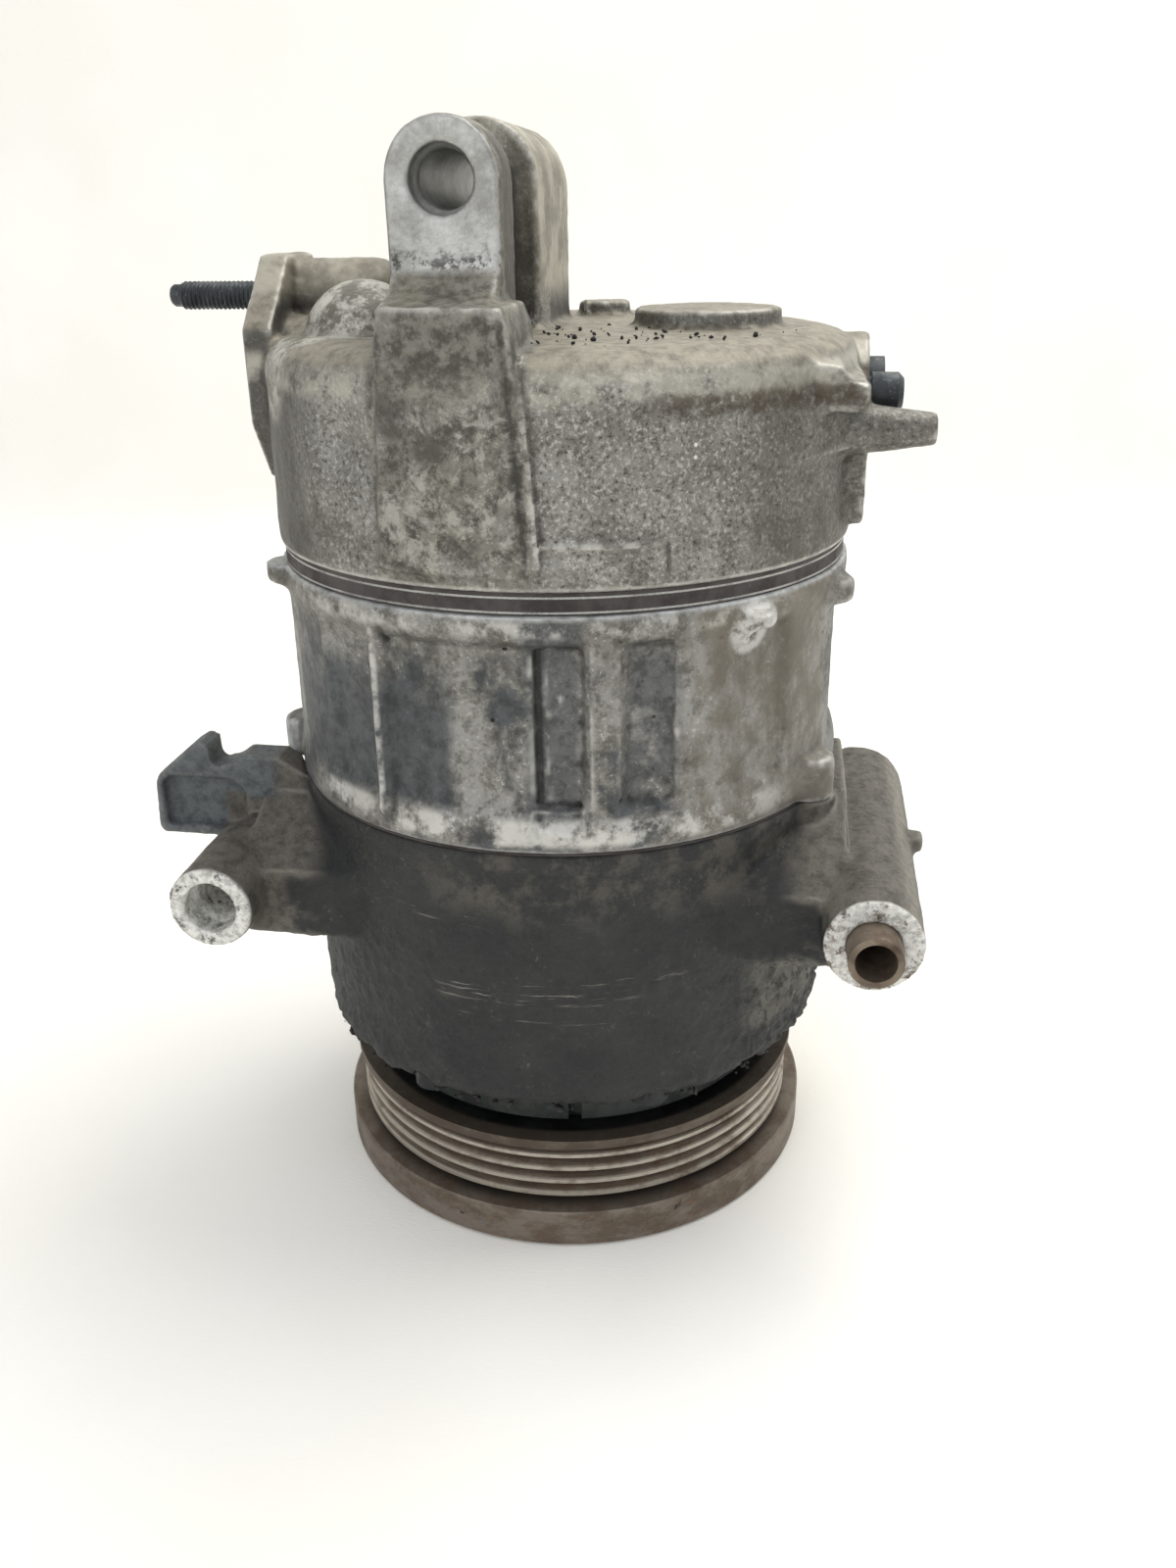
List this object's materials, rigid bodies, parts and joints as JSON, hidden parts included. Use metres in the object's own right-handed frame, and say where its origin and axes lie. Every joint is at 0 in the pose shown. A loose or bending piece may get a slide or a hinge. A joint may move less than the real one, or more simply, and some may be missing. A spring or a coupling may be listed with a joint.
{
  "type": "automotive air-conditioning compressor",
  "caption": "Used swash-plate car air-conditioning compressor standing on its ribbed belt pulley, with three mounting eyes and oily cast housings",
  "frame": {"origin": "on the shaft axis in the plane of the pulley's front face, which the part stands on", "axes": "+Z along the shaft from the pulley to the rear head; the three mounting eyes run along Y and their machined faces look to -Y; the pipe flange is on the -X side"},
  "size_m": [0.1774, 0.126, 0.2356],
  "materials": {
    "cast_aluminium": "weathered die-cast aluminium, oily and stained",
    "machined_aluminium": "machined aluminium",
    "pulley_steel": "worn, rusty pressed steel",
    "bright_steel": "ground bearing steel",
    "black_steel": "phosphated or black-painted steel",
    "spring_steel": "blued spring steel",
    "copper_winding": "enamelled copper winding in resin",
    "gasket_steel": "rubber-coated steel gasket",
    "seal_rubber": "moulded rubber",
    "sintered_bronze": "bronze-faced shoe and sleeve"
  },
  "bodies": {
    "root": {"bearing_inner_ring": "bright_steel", "block_clip": "spring_steel", "block_gasket": "gasket_steel", "boss_sleeve": "pulley_steel", "coil_cup": "black_steel", "coil_screws": "bright_steel", "coil_winding": "copper_winding", "control_valve": "bright_steel", "crankcase_gasket": "gasket_steel", "cylinder_block": "cast_aluminium", "discharge_reed": "spring_steel", "front_housing": "cast_aluminium", "front_needle_bearing": "bright_steel", "front_thrust_bearing": "bright_steel", "head_gasket": "gasket_steel", "lug_plate": "bright_steel", "nose_clip": "spring_steel", "port_stud": "black_steel", "preload_spring": "spring_steel", "rear_head": "cast_aluminium", "rear_needle_bearing": "bright_steel", "rear_thrust_washer": "bright_steel", "relief_valve": "black_steel", "return_spring": "spring_steel", "seal_clip": "spring_steel", "shaft_seal": "seal_rubber", "suction_reed": "spring_steel", "through_bolts": "black_steel", "valve_plate": "gasket_steel"},
    "pulley": {"drive_pulley": "pulley_steel", "bearing_outer_ring": "bright_steel", "bearing_balls": "bright_steel", "bearing_seals": "seal_rubber"},
    "shaft": {"drive_shaft": "bright_steel", "clutch_hub": "black_steel", "leaf_springs": "spring_steel", "hub_rivets": "bright_steel", "hub_bolt": "black_steel"},
    "armature": {"armature_plate": "pulley_steel", "armature_rivets": "bright_steel"},
    "sleeve": {"swash_sleeve": "sintered_bronze", "pivot_pins": "bright_steel"},
    "swash": {"swash_plate": "bright_steel", "guide_pin": "bright_steel"},
    "piston_body_1": {"piston_1": "machined_aluminium"},
    "shoe_body_1": {"shoes_1": "bright_steel"},
    "piston_body_2": {"piston_2": "machined_aluminium"},
    "shoe_body_2": {"shoes_2": "bright_steel"},
    "piston_body_3": {"piston_3": "machined_aluminium"},
    "shoe_body_3": {"shoes_3": "bright_steel"},
    "piston_body_4": {"piston_4": "machined_aluminium"},
    "shoe_body_4": {"shoes_4": "bright_steel"},
    "piston_body_5": {"piston_5": "machined_aluminium"},
    "shoe_body_5": {"shoes_5": "bright_steel"},
    "piston_body_6": {"piston_6": "machined_aluminium"},
    "shoe_body_6": {"shoes_6": "bright_steel"},
    "piston_body_7": {"piston_7": "machined_aluminium"},
    "shoe_body_7": {"shoes_7": "bright_steel"}
  },
  "joints": [
    {"name": "pulley_spin", "type": "hinge", "parent": "root", "child": "pulley", "pos_m": [0, 0, 0.018], "axis": [0, 0, 1], "continuous": true},
    {"name": "shaft_spin", "type": "hinge", "parent": "root", "child": "shaft", "pos_m": [0, 0, 0.07], "axis": [0, 0, 1], "continuous": true},
    {"name": "armature_engage", "type": "slide", "parent": "shaft", "child": "armature", "axis": [0, 0, 1], "range_m": [0, 0.00045], "stiffness_N_per_m": 20000, "springref_m": -0.0001},
    {"name": "sleeve_slide", "type": "slide", "parent": "root", "child": "sleeve", "axis": [0, 0, 1], "range_m": [-0.0102, 0], "deforming": ["return_spring"]},
    {"name": "swash_tilt", "type": "hinge", "parent": "sleeve", "child": "swash", "pos_m": [0, 0, 0.096], "axis": [0, 1, 0], "range_deg": [0, 15], "stiffness_Nm_per_rad": 3.9, "springref_deg": -32.09},
    {"name": "piston_slide_1", "type": "slide", "parent": "root", "child": "piston_body_1", "axis": [0, 0, 1], "range_m": [-0.02, 0]},
    {"name": "shoe_swivel_1", "type": "hinge", "parent": "piston_body_1", "child": "shoe_body_1", "pos_m": [0.03705, 0.00846, 0.096], "axis": [0, 1, 0], "range_deg": [0, 15.05]},
    {"name": "piston_slide_2", "type": "slide", "parent": "root", "child": "piston_body_2", "axis": [0, 0, 1], "range_m": [-0.01453, 0]},
    {"name": "shoe_swivel_2", "type": "hinge", "parent": "piston_body_2", "child": "shoe_body_2", "pos_m": [0.01649, 0.03424, 0.096], "axis": [0, 1, 0], "range_deg": [0, 15.05]},
    {"name": "piston_slide_3", "type": "slide", "parent": "root", "child": "piston_body_3", "axis": [0, 0, 1], "range_m": [-0.00575, 0]},
    {"name": "shoe_swivel_3", "type": "hinge", "parent": "piston_body_3", "child": "shoe_body_3", "pos_m": [-0.01649, 0.03424, 0.096], "axis": [0, 1, 0], "range_deg": [0, 15.05]},
    {"name": "piston_slide_4", "type": "slide", "parent": "root", "child": "piston_body_4", "axis": [0, 0, 1], "range_m": [-0.000274, 0]},
    {"name": "shoe_swivel_4", "type": "hinge", "parent": "piston_body_4", "child": "shoe_body_4", "pos_m": [-0.03705, 0.00846, 0.096], "axis": [0, 1, 0], "range_deg": [0, 15.05]},
    {"name": "piston_slide_5", "type": "slide", "parent": "root", "child": "piston_body_5", "axis": [0, 0, 1], "range_m": [-0.00223, 0]},
    {"name": "shoe_swivel_5", "type": "hinge", "parent": "piston_body_5", "child": "shoe_body_5", "pos_m": [-0.02971, -0.02369, 0.096], "axis": [0, 1, 0], "range_deg": [0, 15.05]},
    {"name": "piston_slide_6", "type": "slide", "parent": "root", "child": "piston_body_6", "axis": [0, 0, 1], "range_m": [-0.01014, 0]},
    {"name": "shoe_swivel_6", "type": "hinge", "parent": "piston_body_6", "child": "shoe_body_6", "pos_m": [0, -0.038, 0.096], "axis": [0, 1, 0], "range_deg": [0, 15.05]},
    {"name": "piston_slide_7", "type": "slide", "parent": "root", "child": "piston_body_7", "axis": [0, 0, 1], "range_m": [-0.01805, 0]},
    {"name": "shoe_swivel_7", "type": "hinge", "parent": "piston_body_7", "child": "shoe_body_7", "pos_m": [0.02971, -0.02369, 0.096], "axis": [0, 1, 0], "range_deg": [0, 15.05]}
  ],
  "couplings": [
    {"joint": "sleeve_slide", "follows": "swash_tilt", "m_per_rad": -0.038646},
    {"joint": "piston_slide_1", "follows": "swash_tilt", "m_per_rad": -0.076323},
    {"joint": "shoe_swivel_1", "follows": "swash_tilt", "ratio": 1},
    {"joint": "piston_slide_2", "follows": "swash_tilt", "m_per_rad": -0.055414},
    {"joint": "shoe_swivel_2", "follows": "swash_tilt", "ratio": 1},
    {"joint": "piston_slide_3", "follows": "swash_tilt", "m_per_rad": -0.021878},
    {"joint": "shoe_swivel_3", "follows": "swash_tilt", "ratio": 1},
    {"joint": "piston_slide_4", "follows": "swash_tilt", "m_per_rad": -0.000969},
    {"joint": "shoe_swivel_4", "follows": "swash_tilt", "ratio": 1},
    {"joint": "piston_slide_5", "follows": "swash_tilt", "m_per_rad": -0.008431},
    {"joint": "shoe_swivel_5", "follows": "swash_tilt", "ratio": 1},
    {"joint": "piston_slide_6", "follows": "swash_tilt", "m_per_rad": -0.038646},
    {"joint": "shoe_swivel_6", "follows": "swash_tilt", "ratio": 1},
    {"joint": "piston_slide_7", "follows": "swash_tilt", "m_per_rad": -0.068861},
    {"joint": "shoe_swivel_7", "follows": "swash_tilt", "ratio": 1}
  ]
}
